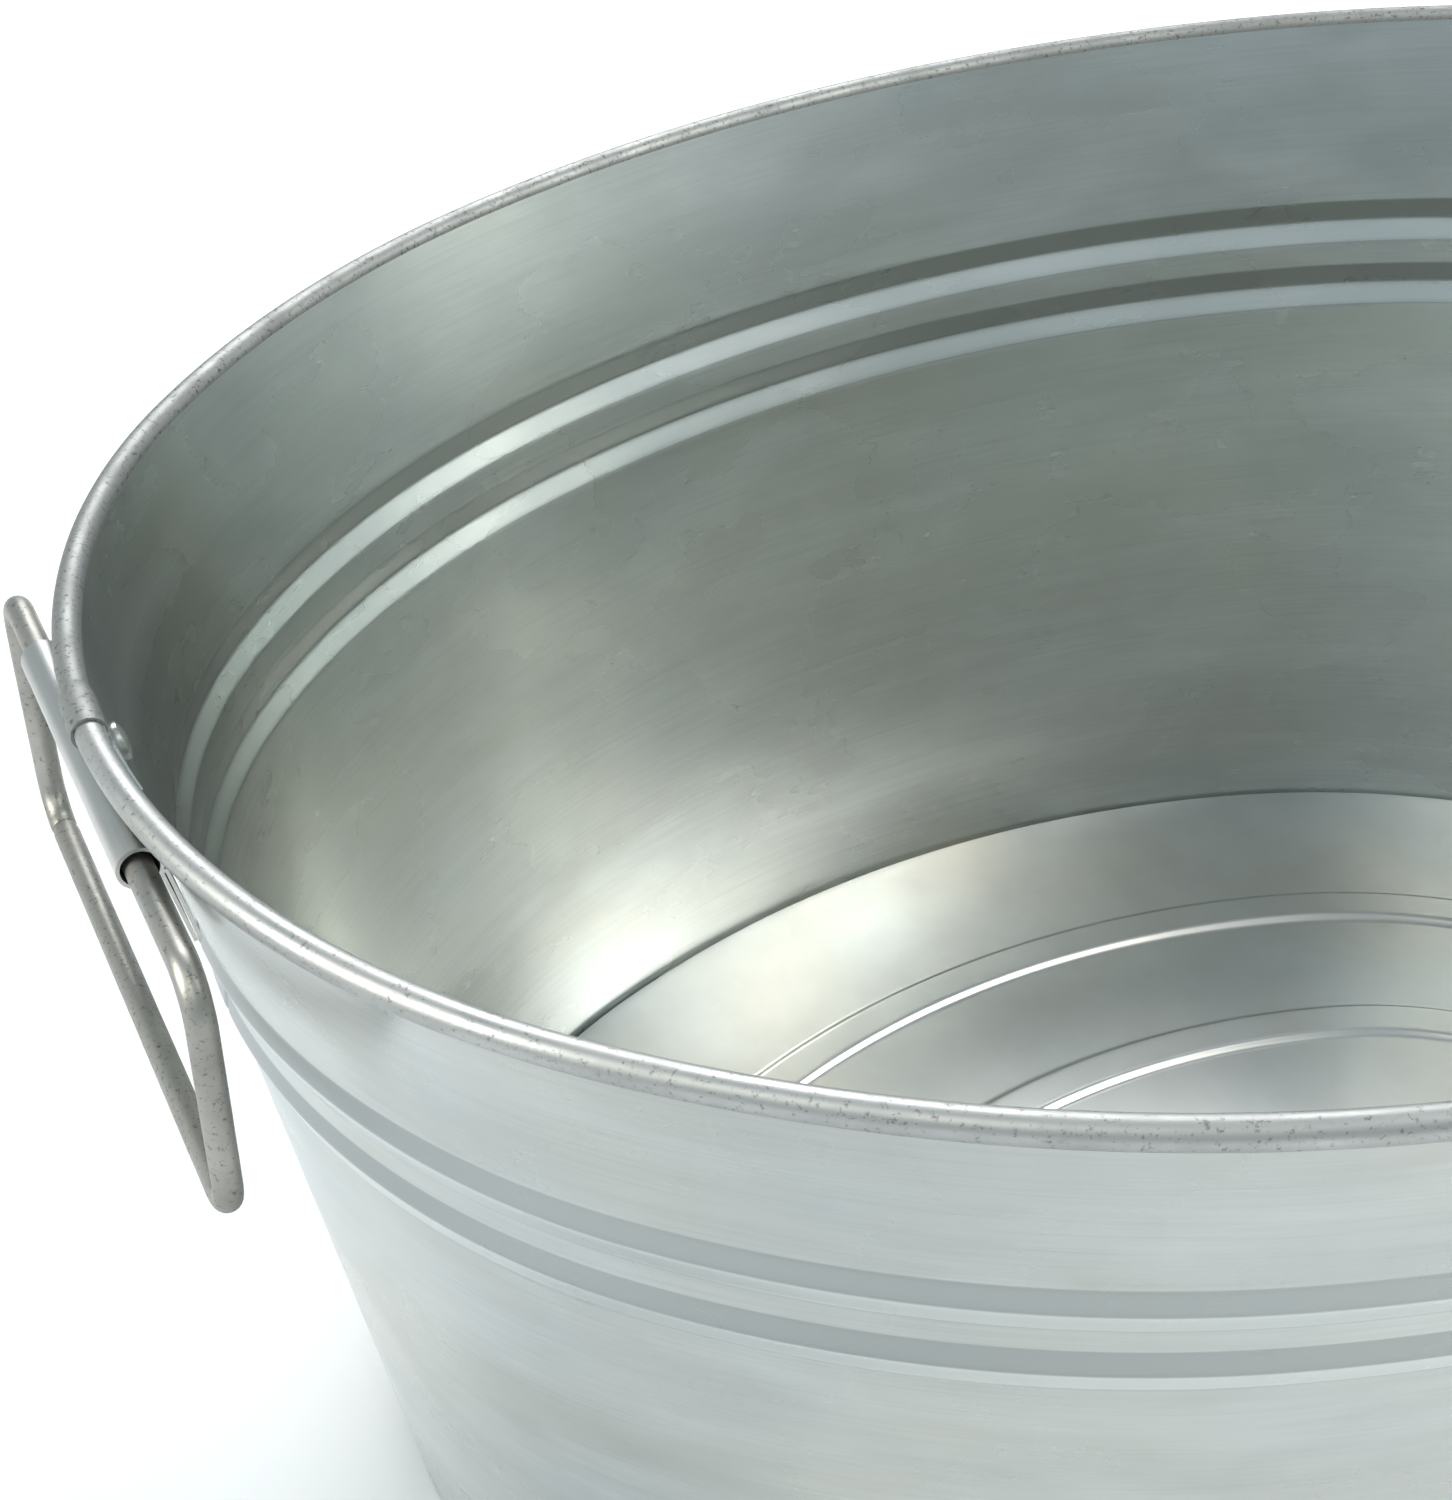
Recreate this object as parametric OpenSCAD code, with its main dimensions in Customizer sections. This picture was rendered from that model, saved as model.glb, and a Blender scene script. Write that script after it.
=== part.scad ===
// Oval galvanised steel tub with a drop handle at each end, used as a livestock water trough.
// Millimetres, +Z up. X runs along the tub from handle to handle.
// The origin is on the ground, under the middle of the tub.

/* [Rim] */
// Half length of the oval that the rim bead follows
rim_half_length = 340; // [300:1:400]
// Height of the rim bead's centre above the ground
rim_height = 316; // [200:1:400]
// Bend radius of the two ends, seen from above
end_radius = 211; // [200:1:230]
// Bend radius of the four shoulders between ends and sides
shoulder_radius = 322; // [260:1:400]
// Angle from the X axis at which an end meets a shoulder
end_angle = 43; // [35:1:50]
// Angle from the X axis at which a shoulder meets a side
shoulder_angle = 69.5; // [60:0.5:75]
// Thickness of the steel wire that stiffens the rim
rim_wire_diameter = 5.6; // [4:0.1:8]

/* [Wall] */
// Thickness of the galvanised sheet
sheet = 0.7; // [0.5:0.1:1.2]
// Distance from the rim oval in to the line of the wall, taken up to the rim's height
wall_inset = 6.5; // [5:0.1:10]
// How far the wall leans in for each millimetre it goes down
wall_lean = 0.134; // [0.05:0.001:0.3]
// How far the two pressed beads stand out of the wall
bead_depth = 1.8; // [1:0.1:4]
// Height of one pressed bead
bead_height = 14.8; // [8:0.1:20]
// Drop from the rim to the middle of the upper bead
upper_bead_drop = 67; // [40:0.5:100]
// Drop from the rim to the middle of the lower bead
lower_bead_drop = 90; // [60:0.5:130]
// How far the rear sheet laps inside the front sheet at each end
seam_lap = 22; // [20:1:28]

/* [Floor] */
// Height of the floor inside the tub above the ground
floor_height = 11.6; // [9:0.1:30]
// Distance from the rim oval in to the middle of the outer stamped ring
outer_ring_inset = 126; // [110:1:150]
// Distance from the rim oval in to the middle of the inner stamped ring
inner_ring_inset = 194; // [170:1:196]
// Width of each stamped ring
ring_width = 18; // [8:1:20]
// Height of each stamped ring above the floor
ring_rise = 2; // [1:0.1:5]

/* [Handles] */
// Thickness of the handle wire
handle_wire = 7; // [5:0.5:10]
// Width of the handle loop, between wire centres
handle_width = 170; // [120:1:200]
// Drop of the handle loop, between wire centres
handle_drop = 67; // [45:1:90]
// Bend radius of the handle's corners, at the wire's centre
handle_bend = 11; // [8:1:20]
// Lean of the hanging handle out from straight down, in degrees
handle_lean = 3; // [0:1:10]
// Sideways slide of the handle in its ear, towards the front
handle_slide = 4; // [0:0.1:10]
// Length of the rolled tube that holds the handle
ear_length = 92; // [60:1:120]
// Distance that the ears sit behind the tub's long axis, clear of the rim's seam
ear_shift = 9; // [0:0.5:15]
// Free space around the wire inside the rolled tube
ear_play = 1; // [0.5:0.1:2]
// Thickness of the ear's sheet
ear_sheet = 0.9; // [0.7:0.1:1.5]
// Reach of the ear's flange below the middle of the tube
flange_drop = 25; // [15:1:40]
// Distance between the two rivets of an ear
rivet_spacing = 38; // [20:1:70]
// Diameter of a rivet's shank
rivet_diameter = 5; // [3:0.1:8]
// Diameter of a rivet's head
rivet_head = 10; // [8:0.5:16]
// Height of a rivet's head
rivet_head_height = 1.4; // [1:0.1:4]

/* [Hidden] */

$fn = 64;
gap = 0.1;
fine_step = 0.0001;
fine_facets = 360;
step_in = sheet + gap;
steel = [0.74, 0.76, 0.76];
dull_steel = [0.66, 0.65, 0.62];

// The oval is made of arcs. These are the arc centres in the quarter where X and Y are positive.
end_x = rim_half_length - end_radius;
shoulder_x = end_x + (end_radius - shoulder_radius) * cos(end_angle);
shoulder_y = (end_radius - shoulder_radius) * sin(end_angle);
side_radius = shoulder_radius + shoulder_x / cos(shoulder_angle);
side_y = shoulder_y + (shoulder_radius - side_radius) * sin(shoulder_angle);

// Each arc is [centre X, centre Y, radius, first angle, last angle]. The +X end comes first and last.
OVAL = [
    [end_x, 0, end_radius, -end_angle, end_angle],
    [shoulder_x, shoulder_y, shoulder_radius, end_angle, shoulder_angle],
    [0, side_y, side_radius, shoulder_angle, 180 - shoulder_angle],
    [-shoulder_x, shoulder_y, shoulder_radius, 180 - shoulder_angle, 180 - end_angle],
    [-end_x, 0, end_radius, 180 - end_angle, 180 + end_angle],
    [-shoulder_x, -shoulder_y, shoulder_radius, 180 + end_angle, 180 + shoulder_angle],
    [0, -side_y, side_radius, 180 + shoulder_angle, 360 - shoulder_angle],
    [shoulder_x, -shoulder_y, shoulder_radius, 360 - shoulder_angle, 360 - end_angle],
    [end_x, 0, end_radius, 360 - end_angle, 360 + end_angle]
];

curl_radius = rim_wire_diameter / 2 + gap + sheet;
curl_middle = curl_radius - sheet / 2;
sleeve_radius = curl_radius + gap + sheet;
curl_slot = [186, 228];

upper_bead = rim_height - upper_bead_drop;
lower_bead = rim_height - lower_bead_drop;
half_bead = bead_height / 2;
neck = upper_bead + half_bead;
wall_heights = [0, lower_bead - half_bead, lower_bead, lower_bead + half_bead,
                upper_bead - half_bead, upper_bead, neck, rim_height];
hem_height = 7;

// The seam at each end of the tub. The angles are counted from the middle of the end.
lap_angle = seam_lap / end_radius * 180 / PI;
joggle_angle = 1;
sleeve_edge = 1;
sleeve_end = 4.4;
curl_end = 4;
sleeve_start = 5.2;
seam_gap = 0.04;
joggle_low_drop = 12;
joggle_high_drop = 8;
joggle_low = rim_height - joggle_low_drop;
joggle_high = rim_height - joggle_high_drop;
lap_top_drop = 1;

// The stamped rings' flanks run out this far for each millimetre of rise. The floor's middle is a plain
// polygon that overlaps the swept floor round it.
flank_run = 1.5;
core_overlap = 2;
core_step = 5;

// The ear hangs on the outside of the wall, just under the rim bead.
bore_radius = handle_wire / 2 + ear_play;
tube_radius = bore_radius + ear_sheet;
tube_drop = 10;
tube_z = rim_height - tube_drop;
wire_sag = 0.6;
pivot_z = tube_z - wire_sag;
fold_gap = 0.3;
leg_start = 3;
neck_lean = atan2(wall_line(rim_height) - wall_line(neck), rim_height - neck);
tube_x = rim_half_length + wall_line(tube_z) + sheet / 2 + (tube_radius + gap) / cos(neck_lean);
flange_face = -tube_radius + 2 * ear_sheet + fold_gap;
rivet_drop = 12.5;
hole_length = 30;
inner_collar = 3;
dome_radius = (pow(rivet_head / 2, 2) + pow(rivet_head_height, 2)) / (2 * rivet_head_height);
weld_gap = 0.3;
cut = 1;

// Middle of the sheet at a height, measured out from the rim oval. Above the upper bead it runs to the curl.
function wall_line(z) =
    z > neck
        ? lean_line(neck) + (z - neck) / (rim_height - neck) * (-curl_middle - lean_line(neck))
        : lean_line(z) + bead_depth * (bump(z, upper_bead) + bump(z, lower_bead));
function lean_line(z) = -wall_inset + wall_lean * (z - rim_height);
function bump(z, middle) = max(0, 1 - abs(z - middle) / half_bead);

// The wall's heights between two limits, with the limits themselves.
function heights_between(low, high) =
    concat([low], [for (z = wall_heights) if (z > low && z < high) z], [high]);

// A point on the oval, moved out by a distance. The angle is that of the oval's outward normal.
function oval_arc(angle) = [for (arc = OVAL) if (angle >= arc[3] && angle < arc[4]) arc][0];
function oval_point(angle, out) =
    let (arc = oval_arc(angle), reach = arc[2] + out)
    [arc[0] + reach * cos(angle), arc[1] + reach * sin(angle)];

// Moves by whole millimetres, then by a small part and then by the rest. Exported matrices keep six digits
// each, so this keeps neighbouring arcs exactly in line with each other.
function rounded(vector, step) = [for (part = vector) round(part / step) * step];
module fine_move(offset) {
    whole = rounded(offset, 1);
    small = rounded(offset - whole, fine_step);
    translate(whole)
        translate(small)
            translate(offset - whole - small)
                children();
}

// Sweeps an outline along the oval between two angles. The outline's X is measured out from the rim
// oval, and its Y is the height above the ground.
module along_oval(first, last) {
    for (arc = OVAL) {
        from = max(first, arc[3]);
        to = min(last, arc[4]);
        if (to > from) {
            fine_move([arc[0], arc[1], 0])
                rotate_extrude(angle = to - from, start = from)
                    fine_move([arc[2], 0, 0])
                        children();
        }
    }
}

// Outline of a strip that follows the wall between two heights, from one distance off its middle to another.
module wall_strip(low, high, inside, outside) {
    heights = heights_between(low, high);
    last = len(heights) - 1;
    polygon(concat(
        [for (z = heights) [wall_line(z) + inside, z]],
        [for (i = [last:-1:0]) [wall_line(heights[i]) + outside, heights[i]]]
    ));
}

module plain_wall(low, high) {
    wall_strip(low, high, -sheet / 2, sheet / 2);
}

// Outline of the sheet lapped inside the plain wall.
module lapped_wall(low, high) {
    wall_strip(low, high, -sheet / 2 - step_in, sheet / 2 - step_in);
}

// Outline where the sheet steps from the plain line to the lapped line.
module joggled_wall(low, high) {
    wall_strip(low, high, -sheet / 2 - step_in, sheet / 2);
}

// Outline of the wall's foot, turned in and up round the skirt of the bottom pan.
module hem() {
    inside = -sheet / 2 - 2 * step_in;
    wall_strip(0, hem_height, inside, inside + sheet);
    wall_strip(0, sheet, inside, sheet / 2);
}

// Outline of the sheet rolled over the rim wire, open where its edge comes back to the wall.
module curl(inner, outer) {
    reach = 2 * outer;
    translate([0, rim_height])
        difference() {
            circle(r = outer);
            circle(r = inner);
            polygon([
                [0, 0],
                reach * [cos(curl_slot[0]), sin(curl_slot[0])],
                reach * [cos(curl_slot[1]), sin(curl_slot[1])]
            ]);
        }
}

module front_wall_sheet() {
    color(steel)
        difference() {
            union() {
                along_oval(180 + seam_gap, 360 - seam_gap)
                    plain_wall(0, rim_height);
                along_oval(180 + seam_gap, 360 - seam_gap)
                    hem();
                along_oval(180 - curl_end, 360 + curl_end)
                    curl(curl_radius - sheet, curl_radius);
            }
            both_ends()
                rivet_holes();
        }
}

module rear_wall_sheet() {
    color(steel)
        difference() {
            union() {
                along_oval(sleeve_start, 180 - sleeve_start)
                    plain_wall(0, rim_height);
                along_oval(0, 180)
                    hem();
                along_oval(sleeve_end, 180 - sleeve_end)
                    curl(curl_radius - sheet, curl_radius);
                both_ends()
                    rear_seam_end();
            }
            both_ends()
                rivet_holes();
        }
}

// End of the rear sheet at the +X end. It steps in, laps inside the front sheet and sleeves its curl.
module rear_seam_end() {
    along_oval(0, sleeve_start)
        plain_wall(0, joggle_low);
    along_oval(0, sleeve_start)
        joggled_wall(joggle_low, joggle_high);
    along_oval(0, sleeve_start)
        lapped_wall(joggle_high, rim_height);
    along_oval(sleeve_end, sleeve_start)
        joggled_wall(joggle_high, rim_height);
    along_oval(sleeve_end, sleeve_start)
        curl(curl_radius - sheet, sleeve_radius);
    along_oval(sleeve_edge, sleeve_end)
        curl(curl_radius + gap, sleeve_radius);
    along_oval(0, joggle_angle)
        joggled_wall(floor_height + gap, joggle_high);
    along_oval(-lap_angle, 0)
        lapped_wall(floor_height + gap, rim_height - lap_top_drop);
}

module rim_wire() {
    color(dull_steel)
        along_oval(0, 360)
            translate([0, rim_height])
                circle(d = rim_wire_diameter);
}

// Outline of one stamped ring, raised from the floor's sheet.
module stamped_ring(inset) {
    half = ring_width / 2;
    crown = half - ring_rise * flank_run;
    top = floor_height + ring_rise;
    polygon([
        [-inset - half, floor_height], [-inset - crown, top],
        [-inset + crown, top], [-inset + half, floor_height],
        [-inset + half, floor_height - sheet], [-inset + crown, top - sheet],
        [-inset - crown, top - sheet], [-inset - half, floor_height - sheet]
    ]);
}

// Outline of a flat stretch of the floor between two distances in from the rim oval.
module flat_floor(from_inset, to_inset) {
    translate([-from_inset, floor_height - sheet])
        square([from_inset - to_inset, sheet]);
}

module bottom_pan() {
    half = ring_width / 2;
    core_inset = inner_ring_inset + half;
    skirt = -sheet / 2 - step_in;
    edge_inset = -wall_line(floor_height) - skirt - sheet / 2;
    color(steel) {
        along_oval(0, 360)
            wall_strip(sheet + gap, floor_height, skirt, skirt + sheet);
        along_oval(0, 360)
            flat_floor(outer_ring_inset - half, edge_inset);
        along_oval(0, 360)
            stamped_ring(outer_ring_inset);
        along_oval(0, 360)
            flat_floor(inner_ring_inset - half, outer_ring_inset + half);
        along_oval(0, 360)
            stamped_ring(inner_ring_inset);
        along_oval(0, 360)
            flat_floor(core_inset + core_overlap, core_inset);
        translate([0, 0, floor_height - sheet])
            linear_extrude(sheet)
                polygon([
                    for (angle = [0:core_step:360 - core_step])
                        oval_point(angle, -core_inset - core_overlap / 2)
                ]);
    }
}

// Draws a +X end piece at both ends.
module both_ends() {
    children();
    mirror([1, 0, 0])
        children();
}

// Turns a shape drawn along +Z so that it points out through the wall at one rivet of the +X ear.
module at_rivet(side) {
    translate([tube_x, rivet_y(side), tube_z])
        rotate([0, 90 + neck_lean, 0])
            translate([rivet_drop, 0, 0])
                children();
}

module rivet_holes() {
    for (side = [-1, 1])
        at_rivet(side)
            translate([0, 0, -hole_length / 2])
                cylinder(d = rivet_diameter + 2 * gap, h = hole_length);
}

// Outline of an ear: a strip rolled into a tube, with both its legs brought together below.
module ear_outline() {
    difference() {
        union() {
            circle(r = tube_radius);
            rotate(-neck_lean)
                translate([-tube_radius, -flange_drop])
                    square([2 * ear_sheet + fold_gap, flange_drop - leg_start]);
        }
        circle(r = bore_radius);
        rotate(-neck_lean)
            translate([ear_sheet - tube_radius, -flange_drop - cut])
                square([fold_gap, flange_drop + cut - leg_start - ear_sheet]);
    }
}

module right_ear() {
    color(steel)
        difference() {
            translate([tube_x, ear_shift + ear_length / 2, tube_z])
                rotate([90, 0, 0])
                    linear_extrude(ear_length)
                        ear_outline();
            rivet_holes();
        }
}

module left_ear() {
    mirror([1, 0, 0])
        right_ear();
}

// Domed rivet head standing on the plane Z = 0.
module rivet_dome() {
    intersection() {
        translate([0, 0, rivet_head_height - dome_radius])
            sphere(r = dome_radius);
        cylinder(d = rivet_head, h = dome_radius);
    }
}

// How far a rivet reaches in from the middle of the ear's tube. The wall falls back from the flat ear.
function rivet_y(side) = ear_shift + side * rivet_spacing / 2;
function fall_back(y) = end_radius - sqrt(pow(end_radius, 2) - pow(y, 2));
function rivet_reach(side, step) =
    tube_radius + gap + sheet + step + fall_back(abs(rivet_y(side)) + rivet_head / 2);

// Inner head of a rivet: a dome on a collar that is later cut to the wall.
module inner_head(reach) {
    mirror([0, 0, 1])
        translate([0, 0, reach])
            rivet_dome();
    translate([0, 0, -reach])
        cylinder(d = rivet_head, h = inner_collar);
}

// Room inside the +X end of the tub, left free by a sheet that sits a step in from the wall.
module room_inside(step) {
    inset = sheet / 2 + step;
    translate([end_x, 0, neck])
        cylinder(
            h = rim_height - neck,
            r1 = end_radius + wall_line(neck) - inset,
            r2 = end_radius + wall_line(rim_height) - inset,
            $fn = fine_facets
        );
}

// One rivet through an ear, with the inner head seated on whichever sheet is innermost there.
module ear_rivet(side, step) {
    reach = rivet_reach(side, step);
    at_rivet(side) {
        translate([0, 0, flange_face])
            rivet_dome();
        translate([0, 0, -reach])
            cylinder(d = rivet_diameter, h = reach + flange_face);
    }
    intersection() {
        at_rivet(side)
            inner_head(reach);
        room_inside(step);
    }
}

// The front rivet also goes through the lap of the rear sheet.
module right_ear_rivets() {
    color(dull_steel) {
        ear_rivet(-1, step_in);
        ear_rivet(1, 0);
    }
}

module left_ear_rivets() {
    mirror([1, 0, 0])
        right_ear_rivets();
}

module handle_rod(length) {
    cylinder(d = handle_wire, h = length);
}

// A quarter bend of the handle wire. It leads from +Z at the origin round to +X.
module handle_corner() {
    translate([handle_bend, 0, 0])
        rotate([90, 0, 0])
            rotate([0, 0, 90])
                rotate_extrude(angle = 90)
                    translate([handle_bend, 0])
                        circle(d = handle_wire);
}

// The loop of wire, upright in the YZ plane, with the stretch inside the ear along Y at Z = 0.
// Its ends meet in the grip, next to the rear lower corner.
module handle_loop() {
    half = handle_width / 2;
    straight = half - handle_bend;
    for (side = [-1, 1]) {
        translate([0, side * half, -handle_drop + handle_bend])
            handle_rod(handle_drop - 2 * handle_bend);
        for (low = [0, 1])
            translate([0, side * half, low ? -handle_drop + handle_bend : -handle_bend])
                rotate([0, 0, side * -90])
                    mirror([0, 0, low])
                        handle_corner();
    }
    translate([0, -straight, 0])
        rotate([-90, 0, 0])
            handle_rod(2 * straight);
    translate([0, -straight, -handle_drop])
        rotate([-90, 0, 0])
            handle_rod(2 * straight - weld_gap);
}

module right_handle() {
    color(dull_steel)
        translate([tube_x, ear_shift - handle_slide, pivot_z])
            rotate([0, -handle_lean, 0])
                handle_loop();
}

module left_handle() {
    mirror([1, 0, 0])
        right_handle();
}

front_wall_sheet();
rear_wall_sheet();
rim_wire();
bottom_pan();
left_ear();
right_ear();
left_ear_rivets();
right_ear_rivets();
left_handle();
right_handle();
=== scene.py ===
"""Looks of an oval galvanised steel tub with a drop handle at each end. Metres, in the CAD model's frame."""

import math

import bpy
import numpy as np
from mathutils import Matrix, Vector


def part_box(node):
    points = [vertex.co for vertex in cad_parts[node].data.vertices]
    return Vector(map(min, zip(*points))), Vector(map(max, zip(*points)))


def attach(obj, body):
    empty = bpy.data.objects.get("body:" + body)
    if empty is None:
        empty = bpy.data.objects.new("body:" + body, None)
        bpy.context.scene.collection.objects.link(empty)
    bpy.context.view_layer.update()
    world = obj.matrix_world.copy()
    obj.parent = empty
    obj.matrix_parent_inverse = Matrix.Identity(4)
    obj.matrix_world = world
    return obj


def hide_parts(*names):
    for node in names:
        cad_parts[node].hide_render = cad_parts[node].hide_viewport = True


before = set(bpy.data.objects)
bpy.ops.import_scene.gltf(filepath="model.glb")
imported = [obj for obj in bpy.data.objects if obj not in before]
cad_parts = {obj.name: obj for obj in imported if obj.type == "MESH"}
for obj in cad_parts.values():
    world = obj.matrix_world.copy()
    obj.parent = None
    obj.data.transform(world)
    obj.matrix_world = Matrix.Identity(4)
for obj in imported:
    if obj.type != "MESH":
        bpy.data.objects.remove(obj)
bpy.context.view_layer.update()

MM = 0.001
SHEET = 0.7 * MM
LAP_STEP = 0.8 * MM
STATION_SPACING = 5 * MM
FINE_STATIONS = 4000
SHARP_ANGLE = math.radians(32)

# The rim oval, as bend radii and the angles at which they meet.
END_RADIUS = 211 * MM
SHOULDER_RADIUS = 322 * MM
END_ANGLE = math.radians(43)
SHOULDER_ANGLE = math.radians(69.5)

# The rim, from the wire inside it.
wire_low, wire_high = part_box("rim_wire")
WIRE_RADIUS = (wire_high.z - wire_low.z) / 2
RIM_HEIGHT = (wire_high.z + wire_low.z) / 2
HALF_LENGTH = wire_high.x - WIRE_RADIUS
CURL_RADIUS = WIRE_RADIUS + 0.1 * MM + SHEET / 2
CURL_END = math.radians(-132)

# The wall, as distances in from the rim oval and heights above the ground. It leans out by WALL_LEAN per
# unit of height.
WALL_INSET = 6.5 * MM
WALL_LEAN = 0.134
BEAD_DEPTH = 1.8 * MM
HALF_BEAD = 7.4 * MM
UPPER_BEAD = RIM_HEIGHT - 67 * MM
LOWER_BEAD = RIM_HEIGHT - 90 * MM
NECK = UPPER_BEAD + HALF_BEAD
BEAD_SOFTNESS = 0.5 * MM
HEM_HEIGHT = 7 * MM
HEM_BEND = 0.8 * MM
FOOT_LIFT = SHEET / 2

# The sheet's unevenness, and the heights over which it comes in above the foot and goes out again.
WAVE_COUNT = 14
WAVE_HEIGHT = 0.16 * MM
LOW_WAVE_START = (10 * MM, 80 * MM)
LOW_WAVE_STOP = (LOWER_BEAD - 30 * MM, LOWER_BEAD)
HIGH_WAVE_START = (NECK, NECK + 20 * MM)
HIGH_WAVE_STOP = (RIM_HEIGHT - 30 * MM, RIM_HEIGHT - 12 * MM)
HIGH_WAVE_SHARE = 0.4

# The seam at each end of the tub, as angles from the long axis. The sleeve is the rear sheet's larger curl,
# and the front sheet's curl is tucked inside it. The rear wall and its laps meet at SEAM, a hair behind the
# axis.
LAP_ANGLE = math.radians(6)
SLEEVE_EDGE = math.radians(0.8)
SLEEVE_END = math.radians(4.4)
SLEEVE_BLEND = math.radians(6)
CURL_TUCK = SLEEVE_END - 0.01
SEAM = 0.0002

# The floor, as distances in from the rim oval.
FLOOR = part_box("bottom_pan")[1].z - 2 * MM
RING_MIDDLES = (126 * MM, 194 * MM)
RING_HALF_WIDTH = 9 * MM
RING_RISE = 2 * MM
RING_SLOPE = 3 * MM
RING_STATIONS = 22
FLOOR_STATIONS = 28
CORE_INSET = RING_MIDDLES[1] + RING_HALF_WIDTH + 2 * MM
CORE_SCALES = (0.8, 0.6, 0.4, 0.2, 0.02)
SKIRT_HEIGHTS = (1 * MM, 6 * MM)
FLOOR_WAVE_COUNT = 12
FLOOR_WAVE_HEIGHT = 0.12 * MM
FLOOR_WAVE_FADE = 20 * MM

# The handles, from the CAD loop.
HANDLE_RADIUS = 3.5 * MM
HANDLE_HALF_WIDTH = 85 * MM
HANDLE_DROP = 67 * MM
HANDLE_BEND = 11 * MM
HANDLE_LEAN = math.radians(3)
BUTT_GAP = 0.35 * MM
BUTT_TAPER = 0.9
WIRE_SIDES = 24
LONG_STATIONS = 60
LEG_STATIONS = 18
CORNER_STATIONS = 14
# How the wire's radius varies, as a share of it, a rate along the wire and a phase.
WIRE_UNEVENNESS = ((0.006, 0.31, 0), (0.004, 0.83, 1))

SEED = 11
random = np.random.default_rng(SEED)


def smooth_step(value, low, high):
    part = np.clip((np.asarray(value, float) - low) / (high - low), 0, 1)
    return part * part * (3 - 2 * part)


# ---- the oval ----

end_x = HALF_LENGTH - END_RADIUS
shoulder_x = end_x + (END_RADIUS - SHOULDER_RADIUS) * math.cos(END_ANGLE)
shoulder_y = (END_RADIUS - SHOULDER_RADIUS) * math.sin(END_ANGLE)
side_radius = SHOULDER_RADIUS + shoulder_x / math.cos(SHOULDER_ANGLE)
side_y = shoulder_y + (SHOULDER_RADIUS - side_radius) * math.sin(SHOULDER_ANGLE)


def oval_arc(angle):
    """Centre X, centre Y and radius of the rim oval's arc at an angle, folded into the first quarter."""
    folded = math.atan2(abs(math.sin(angle)), abs(math.cos(angle)))
    if folded < END_ANGLE:
        return end_x, 0.0, END_RADIUS
    if folded < SHOULDER_ANGLE:
        return shoulder_x, shoulder_y, SHOULDER_RADIUS
    return 0.0, side_y, side_radius


def oval_point(angle, out):
    """A point that lies a distance out from the rim oval, where the oval's normal has this angle."""
    centre_x, centre_y, radius = oval_arc(angle)
    c, s = math.cos(angle), math.sin(angle)
    return (
        math.copysign(centre_x, c) + (radius + out) * c,
        math.copysign(1, s) * centre_y + (radius + out) * s,
    )


def rim_distance(x, y):
    """How far a point lies out from the rim oval, seen from above."""
    x, y = abs(x), abs(y)
    radius = END_RADIUS
    centre_x, centre_y = end_x, 0.0
    if math.atan2(y, x - end_x) > END_ANGLE:
        centre_x, centre_y, radius = shoulder_x, shoulder_y, SHOULDER_RADIUS
        if math.atan2(y - shoulder_y, x - shoulder_x) > SHOULDER_ANGLE:
            centre_x, centre_y, radius = 0.0, side_y, side_radius
    return math.hypot(x - centre_x, y - centre_y) - radius


def stations(first, last):
    """Angles between two limits, evenly spaced along the rim."""
    fine = np.linspace(first, last, FINE_STATIONS)
    step = np.array([oval_arc(a)[2] for a in fine]) * (fine[1] - fine[0])
    length = np.concatenate([[0], np.cumsum(step[1:])])
    count = max(2, int(math.ceil(length[-1] / STATION_SPACING)) + 1)
    return np.interp(np.linspace(0, length[-1], count), length, fine)


# ---- mesh helpers ----


def new_piece(name, vertices, faces):
    mesh = bpy.data.meshes.new(name)
    mesh.from_pydata([tuple(v) for v in vertices], [], [tuple(f) for f in faces])
    mesh.validate()
    mesh.update()
    piece = bpy.data.objects.new(name, mesh)
    bpy.context.scene.collection.objects.link(piece)
    mesh.polygons.foreach_set("use_smooth", [True] * len(mesh.polygons))
    mesh.set_sharp_from_angle(angle=SHARP_ANGLE)
    return piece


class Shell:
    """Collects closed skins, so that several can make one piece."""

    def __init__(self):
        self.vertices = []
        self.faces = []

    def loft(self, rings, closed=False):
        """Skins a row of equal closed rings of points. An open row gets flat ends."""
        start = len(self.vertices)
        count = len(rings[0])
        for ring in rings:
            self.vertices.extend(ring)
        rows = len(rings)
        for i in range(rows if closed else rows - 1):
            a = start + i * count
            b = start + (i + 1) % rows * count
            for j in range(count):
                k = (j + 1) % count
                self.faces.append((a + j, a + k, b + k, b + j))
        if not closed:
            self.cap(start, count, True)
            self.cap(start + (rows - 1) * count, count, False)

    def cap(self, start, count, first):
        """Closes a strip's end with quads between its two sides."""
        for j in range(count // 2 - 1):
            quad = (start + j, start + count - 1 - j, start + count - 2 - j, start + j + 1)
            self.faces.append(quad if first else quad[::-1])

    def piece(self, name):
        return new_piece(name, self.vertices, self.faces)


def thicken(line):
    """Closed outline of a strip of sheet, from its middle line of (out, height) points."""
    along = np.gradient(line, axis=0)
    along /= np.linalg.norm(along, axis=1)[:, None]
    normal = np.stack([along[:, 1], -along[:, 0]], axis=1)
    return np.concatenate([line + normal * SHEET / 2, (line - normal * SHEET / 2)[::-1]])


def sweep(shell, angles, line_at, wave=None):
    """Sweeps a strip of sheet along the oval. line_at gives the strip's middle line at an angle."""
    rings = []
    for angle in angles:
        ring = []
        for out, height in thicken(line_at(angle)):
            shift = wave(angle, height) if wave else 0.0
            x, y = oval_point(angle, out + shift)
            ring.append((x, y, height))
        rings.append(ring)
    shell.loft(rings)


# ---- the wall ----


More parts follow.
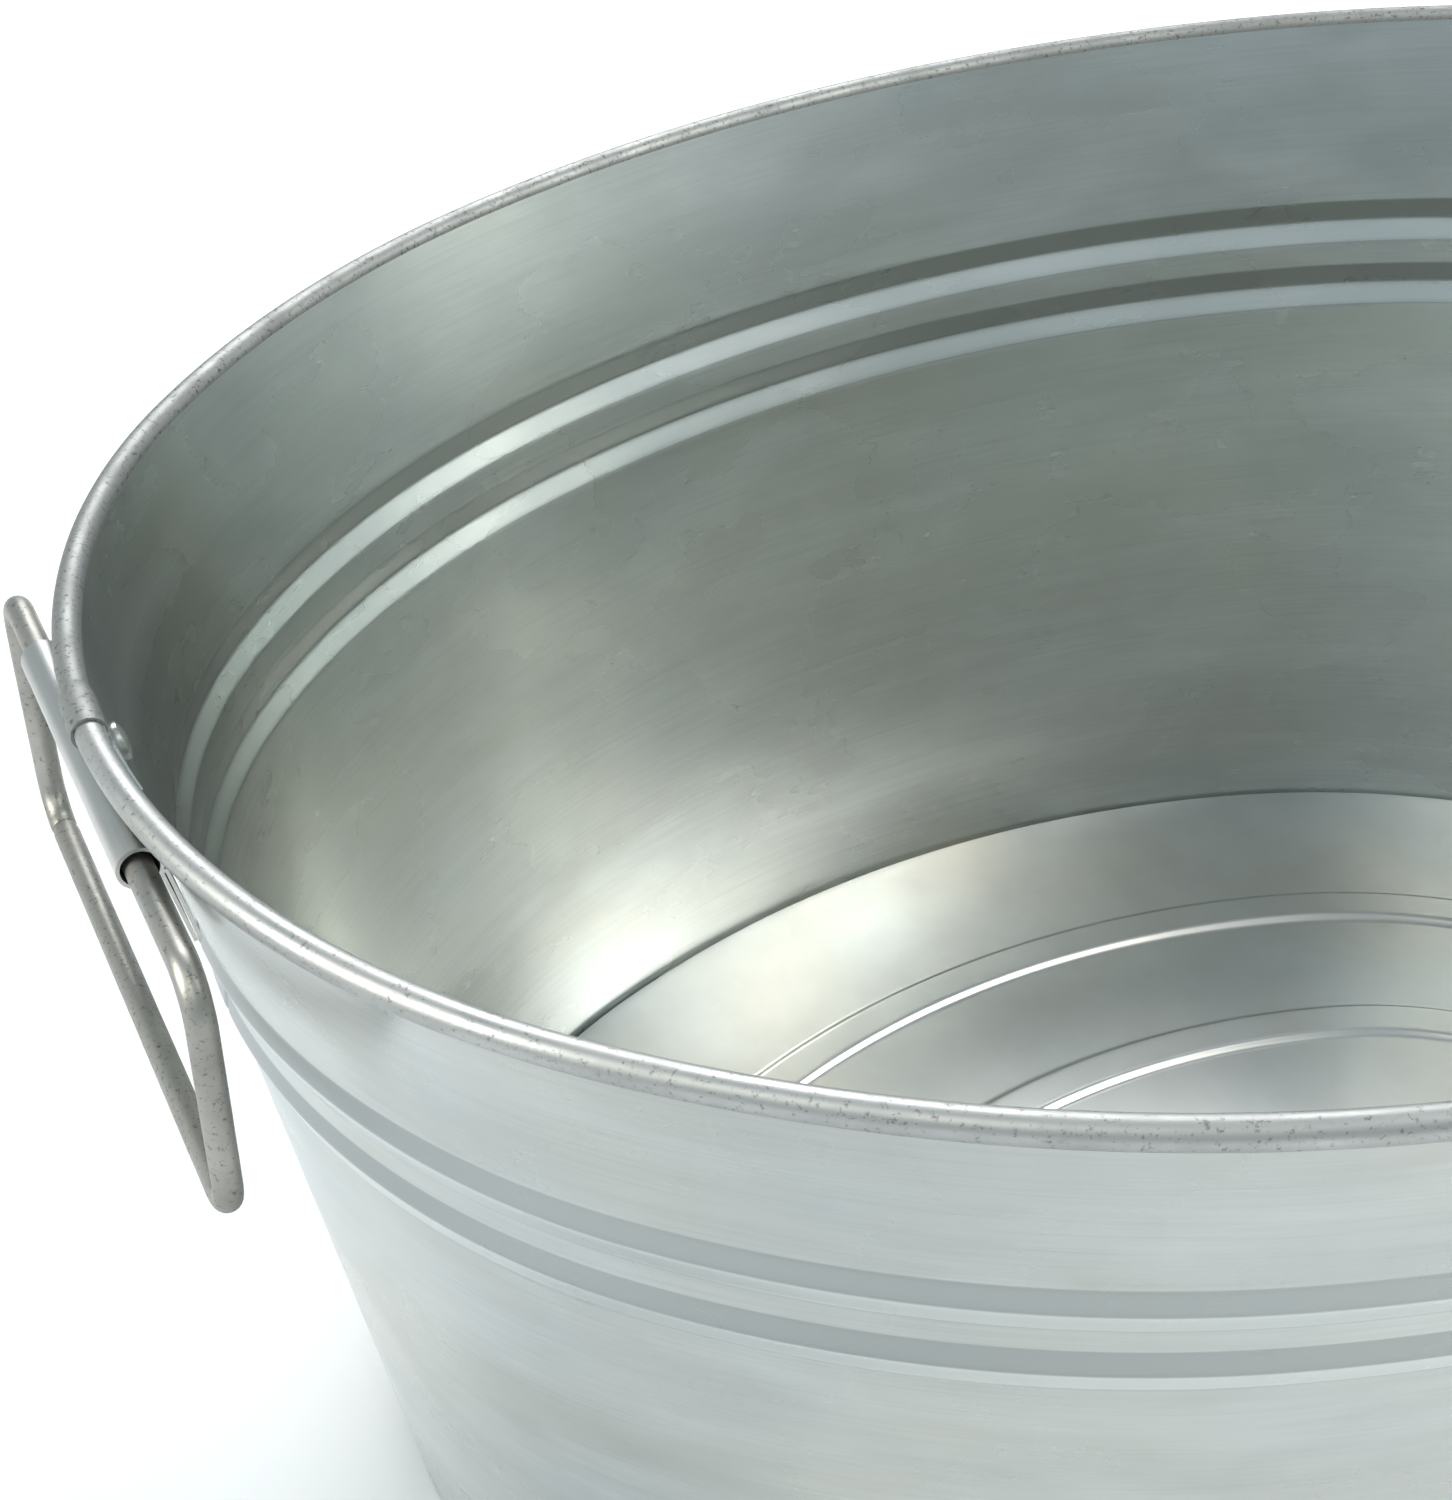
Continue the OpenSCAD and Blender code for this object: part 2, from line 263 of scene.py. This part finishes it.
def lean_line(z):
    return -WALL_INSET + WALL_LEAN * (z - RIM_HEIGHT)


def bump(z, middle):
    """A pressed bead's profile: a V whose crest and edges are slightly rounded."""
    reach = np.abs(z - middle)
    crest = np.sqrt(reach**2 + BEAD_SOFTNESS**2)
    short = HALF_BEAD - crest
    return (short + np.sqrt(short**2 + BEAD_SOFTNESS**2)) / 2 / HALF_BEAD


def wall_line(z):
    """Middle of the wall's sheet at a height, measured out from the rim oval."""
    neck_out = lean_line(NECK)
    upper = neck_out + (z - NECK) / (RIM_HEIGHT - NECK) * (-CURL_RADIUS - neck_out)
    plain = np.where(z > NECK, upper, lean_line(z))
    beads = bump(z, UPPER_BEAD) + bump(z, LOWER_BEAD)
    return plain + BEAD_DEPTH * beads


def wall_heights(low, high):
    coarse = np.linspace(low, high, 20)
    around_beads = np.linspace(LOWER_BEAD - 1.3 * HALF_BEAD, UPPER_BEAD + 1.3 * HALF_BEAD, 44)
    heights = np.concatenate([coarse, around_beads])
    return np.unique(np.round(heights[(heights >= low) & (heights <= high)], 5))


def random_waves(count, first_range, second_range, least_size):
    """Waves as two rates, a phase and a size."""
    return [
        (
            random.uniform(*first_range),
            random.uniform(*second_range),
            random.uniform(0, 2 * math.pi),
            random.uniform(least_size, 1),
        )
        for _ in range(count)
    ]


sheet_waves = random_waves(WAVE_COUNT, (2, 9), (8, 34), 0.3)


def wave_sum(waves, first, second):
    """The waves' height at a place given by two measures, such as an angle and a height."""
    return sum(size * math.sin(a * first + b * second + phase) for a, b, phase, size in waves)


def between(height, start, stop):
    """Rises from 0 to 1 over the start range and falls back to 0 over the stop range."""
    return float(smooth_step(height, *start) * (1 - smooth_step(height, *stop)))


def sheet_wave(angle, height):
    """The slight unevenness of hand-finished sheet. It fades out at the foot, the beads and the rim."""
    low_part = between(height, LOW_WAVE_START, LOW_WAVE_STOP)
    high_part = between(height, HIGH_WAVE_START, HIGH_WAVE_STOP)
    return WAVE_HEIGHT * wave_sum(sheet_waves, angle, height) * (low_part + HIGH_WAVE_SHARE * high_part)


def from_end(angle):
    """Angle from the nearer end of the long axis, for an angle on the rear half."""
    return min(angle, math.pi - angle)


def hem_line():
    """The wall's foot, turned in and up round the pan's skirt, from its free edge to the bend's end."""
    out = float(wall_line(np.array(0.0)))
    rise = np.linspace(HEM_HEIGHT, HEM_BEND, 4)
    up = np.stack([wall_line(rise) - 2 * HEM_BEND, rise], axis=1)
    turn = np.linspace(math.pi, 2 * math.pi, 9)[1:-1]
    bend = np.stack([out - HEM_BEND + HEM_BEND * np.cos(turn), HEM_BEND + HEM_BEND * np.sin(turn)], axis=1)
    return np.concatenate([up, bend])


HEM = hem_line()


def plain_line(_angle):
    """The wall's middle line from the turned foot up to the curl. The foot rises to rest on the ground."""
    heights = wall_heights(HEM_BEND, RIM_HEIGHT)
    wall = np.stack([wall_line(heights), heights], axis=1)
    line = np.concatenate([HEM, wall])
    line[:, 1] += FOOT_LIFT * (1 - smooth_step(line[:, 1], 0, 20 * MM))
    return line


def curl_line(radius):
    """The curl's middle line, from the wall's inner side over the wire and round."""
    turn = np.linspace(math.pi, CURL_END, 26)
    return np.stack([radius * np.cos(turn), RIM_HEIGHT + radius * np.sin(turn)], axis=1)


def rear_line(angle):
    """The rear sheet's wall. Near its ends it steps in, so that it can lap inside the front sheet."""
    line = plain_line(angle)
    low_step = 1 - smooth_step(from_end(angle), 0, math.radians(1))
    high_step = 1 - smooth_step(from_end(angle), SLEEVE_END, SLEEVE_BLEND)
    upper = smooth_step(line[:, 1], RIM_HEIGHT - 16 * MM, RIM_HEIGHT - 8 * MM)
    above_floor = smooth_step(line[:, 1], FLOOR, FLOOR + 4 * MM)
    line[:, 0] -= LAP_STEP * (low_step * (1 - upper) + high_step * upper) * above_floor
    return line


def lap_line(_angle):
    """The rear sheet's lap inside the front sheet, from just above the floor to just below the curl."""
    heights = wall_heights(FLOOR + 0.5 * MM, RIM_HEIGHT - 1.2 * MM)
    return np.stack([wall_line(heights) - LAP_STEP, heights], axis=1)


def rear_curl_line(angle):
    sleeve = 1 - smooth_step(from_end(angle), SLEEVE_END, SLEEVE_BLEND)
    return curl_line(CURL_RADIUS + LAP_STEP * float(sleeve))


def build_front_wall():
    shell = Shell()
    sweep(shell, stations(math.pi, 2 * math.pi), plain_line, wave=sheet_wave)
    curl = stations(math.pi - CURL_TUCK, 2 * math.pi + CURL_TUCK)
    sweep(shell, curl, lambda _angle: curl_line(CURL_RADIUS))
    return shell.piece("front_wall_look")


def build_rear_wall():
    shell = Shell()
    near_end = np.linspace(SEAM, SLEEVE_BLEND, 26)
    middle = stations(SLEEVE_BLEND, math.pi - SLEEVE_BLEND)[1:-1]
    walls = np.concatenate([near_end, middle, math.pi - near_end[::-1]])
    sweep(shell, walls, rear_line, wave=sheet_wave)
    sleeve = np.linspace(SLEEVE_EDGE, SLEEVE_BLEND, 20)
    curls = np.concatenate([sleeve, middle, math.pi - sleeve[::-1]])
    sweep(shell, curls, rear_curl_line)
    sweep(shell, stations(-LAP_ANGLE, SEAM), lap_line, wave=sheet_wave)
    sweep(shell, stations(math.pi - SEAM, math.pi + LAP_ANGLE), lap_line, wave=sheet_wave)
    return shell.piece("rear_wall_look")


# ---- the floor ----


def ring_height(inset):
    """Height of the stamped rings above the flat floor."""
    height = 0.0
    for middle in RING_MIDDLES:
        reach = abs(inset - middle)
        height += RING_RISE * (1 - float(smooth_step(reach, RING_HALF_WIDTH - RING_SLOPE, RING_HALF_WIDTH)))
    return height


floor_waves = random_waves(FLOOR_WAVE_COUNT, (-22, 22), (-22, 22), 0.2)


def floor_wave(x, y):
    return FLOOR_WAVE_HEIGHT * wave_sum(floor_waves, x, y)


def floor_row(angle, side, edge, insets):
    """One skin's points from the skirt's foot in to the middle. side is 0 on top and -SHEET underneath."""
    row = []
    for height in SKIRT_HEIGHTS:
        x, y = oval_point(angle, float(wall_line(np.array(height))) - LAP_STEP + side)
        row.append((x, y, height))
    for inset in insets:
        x, y = oval_point(angle, -inset)
        fade = min(1.0, (inset - edge) / FLOOR_WAVE_FADE)
        row.append((x, y, FLOOR + side + ring_height(inset) + fade * floor_wave(x, y)))
    x, y = oval_point(angle, -CORE_INSET)
    for scale in CORE_SCALES:
        row.append((x * scale, y * scale, FLOOR + side + floor_wave(x * scale, y * scale)))
    return row


def build_floor():
    """The pan: a skirt inside the wall's foot, a flat floor with two stamped rings, and the middle."""
    edge = -float(wall_line(np.array(FLOOR))) + LAP_STEP + SHEET / 2
    plain = np.linspace(edge + 1.5 * MM, CORE_INSET, FLOOR_STATIONS)
    around_rings = [
        np.linspace(middle - RING_HALF_WIDTH - MM, middle + RING_HALF_WIDTH + MM, RING_STATIONS)
        for middle in RING_MIDDLES
    ]
    insets = np.unique(np.round(np.concatenate([plain, *around_rings]), 5))
    rings = []
    for angle in stations(0, 2 * math.pi)[:-1]:
        top = floor_row(angle, 0.0, edge, insets)
        under = floor_row(angle, -SHEET, edge, insets)
        rings.append(top + under[::-1])
    shell = Shell()
    shell.loft(rings, closed=True)
    return shell.piece("bottom_pan_look")


# ---- the handles ----


def loop_outline():
    """Middle line of the wire loop, as Y and height from its pivot, from one butt end round to the other."""
    side, bend, foot = HANDLE_HALF_WIDTH, HANDLE_BEND, -HANDLE_DROP
    straight = side - bend
    points = []

    def line(start, end, count):
        for share in np.linspace(0, 1, count, endpoint=False):
            points.append(np.array(start) * (1 - share) + np.array(end) * share)

    def corner(centre, start_angle, end_angle):
        for angle in np.linspace(start_angle, end_angle, CORNER_STATIONS, endpoint=False):
            points.append(np.array(centre) + bend * np.array([math.cos(angle), math.sin(angle)]))

    line((straight - BUTT_GAP, foot), (-straight, foot), LONG_STATIONS)
    corner((-straight, foot + bend), -math.pi / 2, -math.pi)
    line((-side, foot + bend), (-side, -bend), LEG_STATIONS)
    corner((-straight, -bend), math.pi, math.pi / 2)
    line((-straight, 0), (straight, 0), LONG_STATIONS)
    corner((straight, -bend), math.pi / 2, 0)
    line((side, -bend), (side, foot + bend), LEG_STATIONS)
    corner((straight, foot + bend), 0, -math.pi / 2)
    points.append(np.array((straight, foot)))
    return points


def handle_path(sign):
    """The loop's middle line in the tub's frame. sign is -1 for the left handle and 1 for the right one."""
    low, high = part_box("right_handle")
    pivot_x = sign * (low.x + HANDLE_RADIUS)
    pivot_z = high.z - HANDLE_RADIUS
    middle_y = (low.y + high.y) / 2
    return np.array([
        (
            pivot_x - sign * height * math.sin(HANDLE_LEAN),
            middle_y + y,
            pivot_z + height * math.cos(HANDLE_LEAN),
        )
        for y, height in loop_outline()
    ])


def wire_radius(station, last):
    """The wire is never thicker than the CAD wire, and is slightly rounded off at its two butt ends."""
    uneven = 1 + sum(size * math.sin(rate * station + phase) for size, rate, phase in WIRE_UNEVENNESS)
    return HANDLE_RADIUS * min(uneven, 1.0) * (BUTT_TAPER if station in (0, last) else 1)


def build_handle(name, sign):
    path = handle_path(sign)
    along = np.gradient(path, axis=0)
    along /= np.linalg.norm(along, axis=1)[:, None]
    flat = np.array([math.cos(HANDLE_LEAN) * sign, 0, math.sin(HANDLE_LEAN)])
    around = np.linspace(0, 2 * math.pi, WIRE_SIDES, endpoint=False)
    rings = []
    for station, (point, way) in enumerate(zip(path, along)):
        across = np.cross(way, flat)
        across /= np.linalg.norm(across)
        radius = wire_radius(station, len(path) - 1)
        rings.append([tuple(point + radius * (math.cos(a) * flat + math.sin(a) * across)) for a in around])
    shell = Shell()
    shell.loft(rings)
    return shell.piece(name)


front_wall = build_front_wall()
rear_wall = build_rear_wall()
floor_pan = build_floor()
left_handle = build_handle("left_handle_look", -1)
right_handle = build_handle("right_handle_look", 1)

PIECES = {
    "front_wall_sheet": (front_wall, "tub", "galvanised_wall"),
    "rear_wall_sheet": (rear_wall, "tub", "galvanised_wall"),
    "bottom_pan": (floor_pan, "tub", "galvanised_floor"),
    "left_handle": (left_handle, "left_handle", "handle_wire_steel"),
    "right_handle": (right_handle, "right_handle", "handle_wire_steel"),
}
for node, (piece, body, slot) in PIECES.items():
    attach(piece, body)
    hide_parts(node)


# ---- materials ----


# Where a Mix node keeps its colour sockets.
MIX_SHARE = 0
MIX_FIRST = 6
MIX_SECOND = 7
MIX_RESULT = 2


class Nodes:
    """A short way to write a material's node tree."""

    def __init__(self, name):
        self.material = bpy.data.materials.new(name)
        self.material.use_nodes = True
        self.tree = self.material.node_tree
        self.shader = self.tree.nodes["Principled BSDF"]
        self.place = self.add("ShaderNodeTexCoord").outputs["Object"]

    def add(self, kind, **settings):
        node = self.tree.nodes.new(kind)
        for key, value in settings.items():
            setattr(node, key, value)
        return node

    def link(self, source, target):
        self.tree.links.new(source, target)

    def stretched(self, scale):
        mapping = self.add("ShaderNodeMapping")
        mapping.inputs["Scale"].default_value = scale
        self.link(self.place, mapping.inputs["Vector"])
        return mapping.outputs["Vector"]

    def noise(self, scale, detail=4.0, roughness=0.55, stretch=(1, 1, 1), distortion=0.0):
        noise = self.add("ShaderNodeTexNoise")
        noise.inputs["Scale"].default_value = scale
        noise.inputs["Detail"].default_value = detail
        noise.inputs["Roughness"].default_value = roughness
        noise.inputs["Distortion"].default_value = distortion
        self.link(self.stretched(stretch), noise.inputs["Vector"])
        return noise.outputs["Fac"]

    def ramp(self, value, low, high, low_to, high_to):
        """Spreads the values from low to high over low_to to high_to."""
        spread = self.add("ShaderNodeMapRange")
        spread.inputs["From Min"].default_value = low
        spread.inputs["From Max"].default_value = high
        spread.inputs["To Min"].default_value = low_to
        spread.inputs["To Max"].default_value = high_to
        self.link(value, spread.inputs["Value"])
        return spread.outputs["Result"]

    def blend(self, share, first, second):
        """Mixes two colours. Either may be a fixed colour or a socket."""
        mix = self.add("ShaderNodeMix", data_type="RGBA")
        self.set(mix.inputs[MIX_SHARE], share)
        self.set(mix.inputs[MIX_FIRST], first)
        self.set(mix.inputs[MIX_SECOND], second)
        return mix.outputs[MIX_RESULT]

    def set(self, socket, value):
        if isinstance(value, bpy.types.NodeSocket):
            self.link(value, socket)
        else:
            socket.default_value = value if isinstance(value, (int, float)) else (*value, 1)

    def sum(self, first, second, factor):
        """The first value plus the second one times a factor."""
        node = self.add("ShaderNodeMath", operation="MULTIPLY_ADD")
        self.link(second, node.inputs[0])
        node.inputs[1].default_value = factor
        self.link(first, node.inputs[2])
        return node.outputs[0]

    def height_band(self, low, high, soft):
        """1 between two heights above the ground and 0 elsewhere, with soft edges."""
        split = self.add("ShaderNodeSeparateXYZ")
        self.link(self.place, split.inputs[0])
        rise = self.ramp(split.outputs["Z"], low - soft, low + soft, 0, 1)
        fall = self.ramp(split.outputs["Z"], high - soft, high + soft, 1, 0)
        both = self.add("ShaderNodeMath", operation="MULTIPLY")
        self.link(rise, both.inputs[0])
        self.link(fall, both.inputs[1])
        return both.outputs[0]

    def times(self, value, factor):
        node = self.add("ShaderNodeMath", operation="MULTIPLY")
        self.link(value, node.inputs[0])
        node.inputs[1].default_value = factor
        return node.outputs[0]

    def bump(self, height, distance):
        bump = self.add("ShaderNodeBump")
        bump.inputs["Distance"].default_value = distance
        bump.inputs["Strength"].default_value = 1.0
        self.link(height, bump.inputs["Height"])
        self.link(bump.outputs["Normal"], self.shader.inputs["Normal"])


# Painted shade and highlight on the beads: how far each facet is painted dark or bright, and the painted
# shade lines along the crest and edges.
BAND_SOFTNESS = 0.3 * MM
PAINTED_SHADE_SHARE = 0.95
PAINTED_HIGHLIGHT_SHARE = 0.55
FOLD_SHADE_HALF_WIDTH = 0.25 * MM
FOLD_SHADE_SOFTNESS = 0.15 * MM
FOLD_SHADE_SHARE = 0.45


def scaled(colour, factor):
    return tuple(min(1, part * factor) for part in colour)


def painted_bead_shading(n, tint, dark, light):
    """Painted shade and highlight on each bead: painted dark above its crest and painted bright below it,
    with painted shade lines at the crest and edges.
    """
    for middle in (UPPER_BEAD, LOWER_BEAD):
        low, high = middle - HALF_BEAD, middle + HALF_BEAD
        tint = n.blend(n.times(n.height_band(middle, high, BAND_SOFTNESS), PAINTED_SHADE_SHARE), tint, dark)
        tint = n.blend(n.times(n.height_band(low, middle, BAND_SOFTNESS), PAINTED_HIGHLIGHT_SHARE), tint, light)
        for height in (low, middle, high):
            line = n.height_band(height - FOLD_SHADE_HALF_WIDTH, height + FOLD_SHADE_HALF_WIDTH, FOLD_SHADE_SOFTNESS)
            tint = n.blend(n.times(line, FOLD_SHADE_SHARE), tint, dark)
    return tint


def galvanised(name, clean, warm, dark, roughness, grain, rolling=0.0):
    """Galvanised sheet: mottled zinc, smudges, rubbed streaks, fine rolling lines and grain.

    rolling is how far the rolling lines stand out. Where it isn't 0, the sheet also has the beads' painted
    shade and highlight bands.
    """
    n = Nodes(name)
    n.shader.inputs["Metallic"].default_value = 1.0
    patches = n.noise(7, detail=2)
    clouds = n.noise(16, detail=3, roughness=0.5)
    specks = n.noise(520, detail=3, roughness=0.7)
    smears = n.noise(11, detail=4, roughness=0.55, stretch=(1, 1, 3.2), distortion=0.35)
    lines = n.noise(16, detail=6, roughness=0.72, stretch=(1, 1, 70))
    tint = n.blend(n.ramp(patches, 0.38, 0.62, 0, 1), clean, warm)
    tint = n.blend(n.ramp(clouds, 0.35, 0.80, 0, 0.45), tint, dark)
    tint = n.blend(n.ramp(specks, 0.62, 0.80, 0, 0.25), tint, dark)
    tint = n.blend(n.ramp(smears, 0.42, 0.80, 0, 0.6), tint, scaled(clean, 1.22))
    tint = n.blend(n.ramp(lines, 0.45, 0.80, 0, 0.35), tint, dark)
    if rolling:
        # Painted shade on the beads' upper facets and folds, and painted highlight on their lower facets.
        tint = painted_bead_shading(n, tint, dark, scaled(clean, 1.3))
    n.link(tint, n.shader.inputs["Base Color"])
    rough = n.ramp(clouds, 0.25, 0.80, roughness - 0.04, roughness + 0.05)
    rough = n.sum(rough, n.ramp(smears, 0.35, 0.80, 0, 1), 0.06)
    n.link(rough, n.shader.inputs["Roughness"])
    height = n.noise(260, detail=3, roughness=0.5)
    if rolling:
        height = n.sum(height, lines, rolling)
    n.bump(height, grain)
    return n.material


def wire_metal(name, clean, dark, roughness, grime=0.8):
    """Dull wire with dark specks, drawn lines and rubbed places."""
    n = Nodes(name)
    n.shader.inputs["Metallic"].default_value = 1.0
    rubs = n.noise(45, detail=4)
    specks = n.noise(700, detail=3, roughness=0.75)
    tint = n.blend(n.ramp(rubs, 0.35, 0.7, 0, 0.8), clean, scaled(clean, 0.78))
    tint = n.blend(n.ramp(specks, 0.65 - 0.1 * grime, 0.68, 0, grime), tint, dark)
    n.link(tint, n.shader.inputs["Base Color"])
    n.link(n.ramp(rubs, 0.3, 0.7, roughness - 0.08, roughness + 0.1), n.shader.inputs["Roughness"])
    n.bump(n.noise(1100, detail=3, roughness=0.6), 0.04 * MM)
    return n.material


WALL = galvanised(
    "galvanised_wall",
    clean=(0.585, 0.62, 0.62),
    warm=(0.62, 0.635, 0.60),
    dark=(0.37, 0.395, 0.39),
    roughness=0.26,
    grain=0.005 * MM,
    rolling=0.8,
)
PAN = galvanised(
    "galvanised_floor",
    clean=(0.56, 0.58, 0.575),
    warm=(0.60, 0.58, 0.53),
    dark=(0.42, 0.42, 0.40),
    roughness=0.29,
    grain=0.005 * MM,
)
EAR = galvanised(
    "galvanised_ear",
    clean=(0.60, 0.60, 0.59),
    warm=(0.62, 0.60, 0.56),
    dark=(0.38, 0.38, 0.36),
    roughness=0.36,
    grain=0.02 * MM,
)
RIVET = wire_metal("rivet_steel", (0.62, 0.62, 0.60), (0.30, 0.29, 0.27), 0.36)
HANDLE = wire_metal("handle_wire_steel", (0.42, 0.41, 0.38), (0.14, 0.13, 0.11), 0.46)
RIM = wire_metal("galvanised_rim", (0.50, 0.51, 0.50), (0.20, 0.20, 0.20), 0.47)
# Darker, rougher copy of the rim metal for the rear sheet's curl: painted shade on the far rim, with heavier
# dark specks.
SHADED_REAR_RIM = wire_metal("galvanised_rear_rim_painted_shade", (0.36, 0.37, 0.36), (0.12, 0.12, 0.12), 0.55, grime=1.0)
RIM_WIRE = wire_metal("rim_wire_steel", (0.45, 0.45, 0.44), (0.18, 0.17, 0.16), 0.45)


def paint(piece, material):
    piece.data.materials.clear()
    piece.data.materials.append(material)


def on_rim(point):
    """Is a point of a wall piece on the rolled curl rather than on the wall below it?"""
    low = point.z <= RIM_HEIGHT - CURL_RADIUS - MM
    outside = rim_distance(point.x, point.y) > -CURL_RADIUS + 0.2 * MM
    return not low and (outside or point.z > RIM_HEIGHT + 0.2 * MM)


BY_SLOT = {
    "galvanised_wall": WALL,
    "galvanised_floor": PAN,
    "handle_wire_steel": HANDLE,
}
for node, (piece, body, slot) in PIECES.items():
    paint(piece, BY_SLOT[slot])
for wall, rim in ((front_wall, RIM), (rear_wall, SHADED_REAR_RIM)):
    wall.data.materials.append(rim)
    for face in wall.data.polygons:
        face.material_index = int(on_rim(face.center))
for node in ("left_ear", "right_ear"):
    paint(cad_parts[node], EAR)
    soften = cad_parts[node].modifiers.new("worn_edges", "BEVEL")
    soften.width = 0.12 * MM
    soften.segments = 2
for node in ("left_ear_rivets", "right_ear_rivets"):
    paint(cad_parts[node], RIVET)
paint(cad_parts["rim_wire"], RIM_WIRE)


# ---- studio ----


def build_floor_plane():
    size = 12.0
    corners = [(-size, -size, 0), (size, -size, 0), (size, size, 0), (-size, size, 0)]
    plane = new_piece("studio_floor", corners, [(0, 1, 2, 3)])
    material = bpy.data.materials.new("studio_floor")
    material.use_nodes = True
    shader = material.node_tree.nodes["Principled BSDF"]
    shader.inputs["Base Color"].default_value = (0.93, 0.93, 0.93, 1)
    shader.inputs["Roughness"].default_value = 0.9
    shader.inputs["Specular IOR Level"].default_value = 0.1
    plane.data.materials.append(material)
    return plane


build_floor_plane()


def area_light(name, place, target, size, power, colour=(1, 1, 1)):
    data = bpy.data.lights.new(name, "AREA")
    data.shape = "RECTANGLE"
    data.size, data.size_y = size
    data.energy = power
    data.color = colour
    lamp = bpy.data.objects.new(name, data)
    bpy.context.scene.collection.objects.link(lamp)
    lamp.location = place
    lamp.rotation_euler = (Vector(target) - Vector(place)).to_track_quat("-Z", "Y").to_euler()
    return lamp


area_light("key", place=(0.5, 1.5, 1.9), target=(-0.1, 0, 0.1), size=(1.3, 0.9), power=34)
area_light(
    "low_key",
    place=(1.13, -0.76, 1.34),
    target=(-0.05, 0.13, 0.0),
    size=(0.6, 0.6),
    power=17,
    colour=(1.0, 0.98, 0.93),
)
# The windows are seen only as reflections, and the fills light only what is dull.
for name, place, size, power in (
    ("window", (-2.1, 0.15, 1.35), (0.6, 1.0), 34),
    ("front_window", (-0.85, -1.01, 1.76), (0.9, 0.9), 6),
):
    area_light(name, place, (0, 0, 0.1), size, power, (1.0, 0.98, 0.90)).visible_diffuse = False
for name, place, power in (("near_fill", (-1.2, -2.2, 2.0), 37), ("far_fill", (1.8, 1.6, 2.4), 38)):
    area_light(name, place, (0, 0, 0), (3.0, 3.0), power).visible_glossy = False

# The metal reflects a dim blue sky, and the camera sees a pale backdrop.
world = bpy.data.worlds.new("studio")
bpy.context.scene.world = world
world.use_nodes = True
tree = world.node_tree
sky = tree.nodes["Background"]
sky.inputs["Color"].default_value = (0.81, 0.94, 1.0, 1)
sky.inputs["Strength"].default_value = 0.50
backdrop = tree.nodes.new("ShaderNodeBackground")
backdrop.inputs["Color"].default_value = (0.93, 0.93, 0.93, 1)
seen = tree.nodes.new("ShaderNodeLightPath")
mixed = tree.nodes.new("ShaderNodeMixShader")
tree.links.new(seen.outputs["Is Camera Ray"], mixed.inputs[0])
tree.links.new(sky.outputs[0], mixed.inputs[1])
tree.links.new(backdrop.outputs[0], mixed.inputs[2])
tree.links.new(mixed.outputs[0], tree.nodes["World Output"].inputs["Surface"])

# ---- camera ----

CAMERA_PLACE = (-0.38636, -0.42805, 0.60257)
CAMERA_RIGHT = (0.914295, -0.401483, -0.053623)
CAMERA_UP = (0.306197, 0.598416, 0.740366)
CAMERA_LENS = 53.49
CAMERA_SENSOR = 36
CAMERA_SHIFT = (0.084, 0.1667)

camera_data = bpy.data.cameras.new("camera")
camera = bpy.data.objects.new("camera", camera_data)
bpy.context.scene.collection.objects.link(camera)
camera_data.lens = CAMERA_LENS
camera_data.sensor_width = CAMERA_SENSOR
camera_data.shift_x, camera_data.shift_y = CAMERA_SHIFT
camera_data.clip_start = 0.01
camera_back = Vector(CAMERA_RIGHT).cross(Vector(CAMERA_UP))
facing = Matrix((CAMERA_RIGHT, CAMERA_UP, camera_back)).transposed().to_4x4()
camera.matrix_world = Matrix.Translation(CAMERA_PLACE) @ facing
bpy.context.scene.camera = camera
bpy.context.scene.view_settings.view_transform = "Standard"
